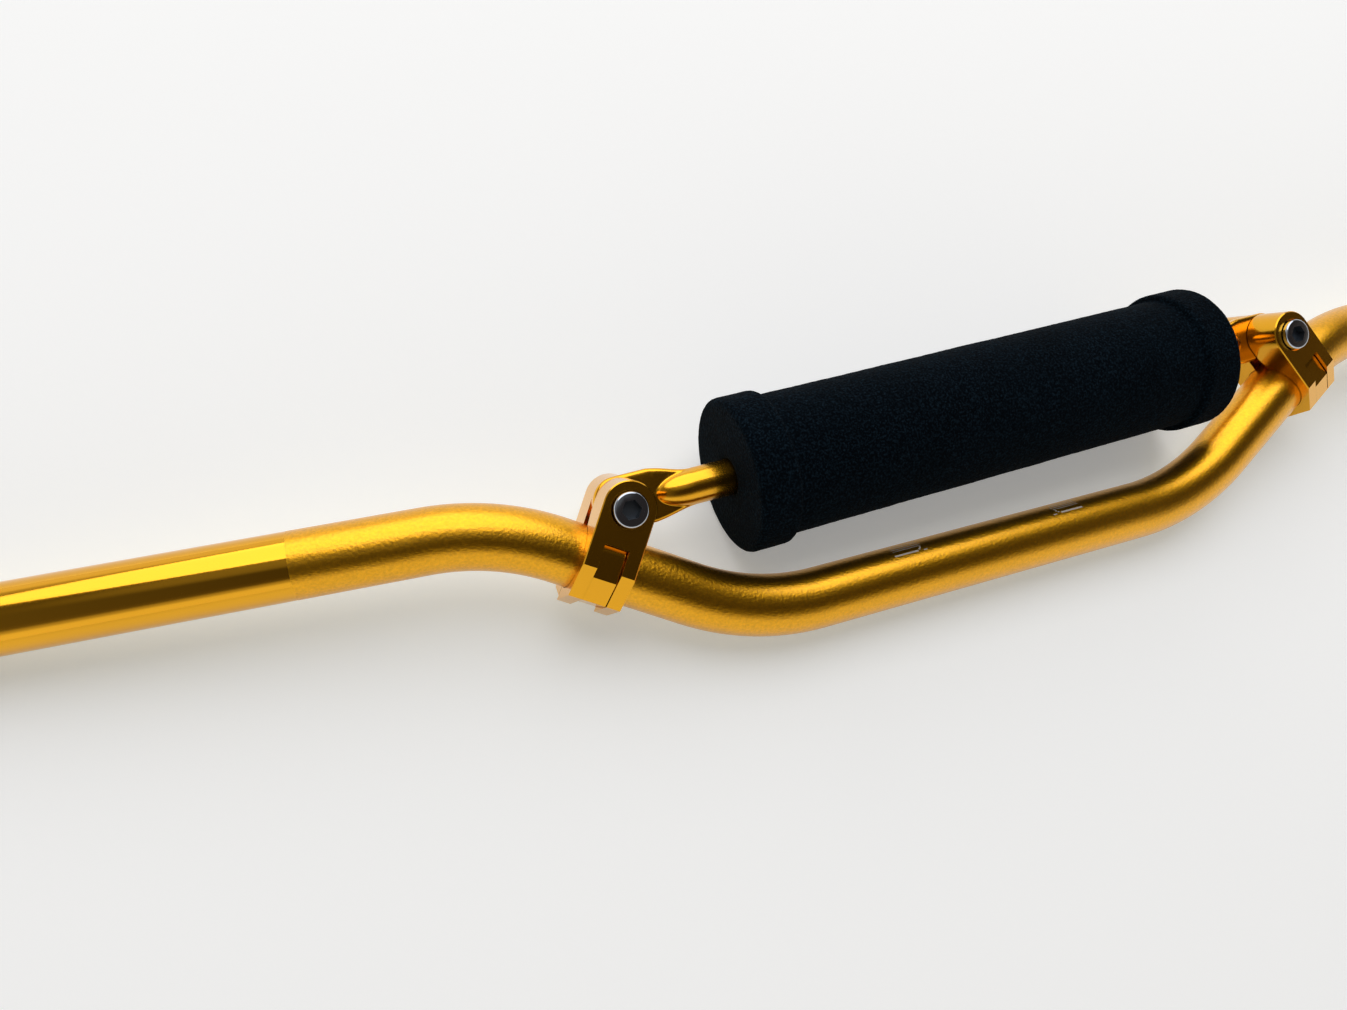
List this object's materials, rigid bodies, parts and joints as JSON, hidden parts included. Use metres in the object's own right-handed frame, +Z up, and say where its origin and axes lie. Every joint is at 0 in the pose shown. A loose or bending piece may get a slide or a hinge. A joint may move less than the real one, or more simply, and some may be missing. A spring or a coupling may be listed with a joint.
{
  "type": "motocross handlebar",
  "caption": "Gold anodised motocross handlebar: bent 22.2 mm tube with flat centre section, braced by a clamped crossbar with a round black foam pad.",
  "frame": {"origin": "centre of the bounding box at the table surface: the bar lies at rest on its centre section and its two open ends", "axes": "+X along the bar from its left to its right end, +Y from the centre section towards the crossbar along the table, +Z up from the table"},
  "size_m": [0.8024, 0.0908, 0.0584],
  "materials": {
    "gold_satin": "gold anodised, bead blasted satin, polished grip end",
    "gold_rod": "gold anodised, smooth",
    "gold_bright": "gold anodised, polished",
    "zinc_steel": "bright plated, smooth",
    "black_foam": "matt closed-cell foam"
  },
  "bodies": {
    "root": {"handlebar_tube": "gold_satin", "crossbar": "gold_rod", "crossbar_pad": "black_foam", "clamp_front_left": "gold_bright", "clamp_front_right": "gold_bright", "clamp_rear_left": "gold_bright", "clamp_rear_right": "gold_bright", "clamp_bolt_left": "zinc_steel", "clamp_bolt_right": "zinc_steel"}
  },
  "joints": []
}
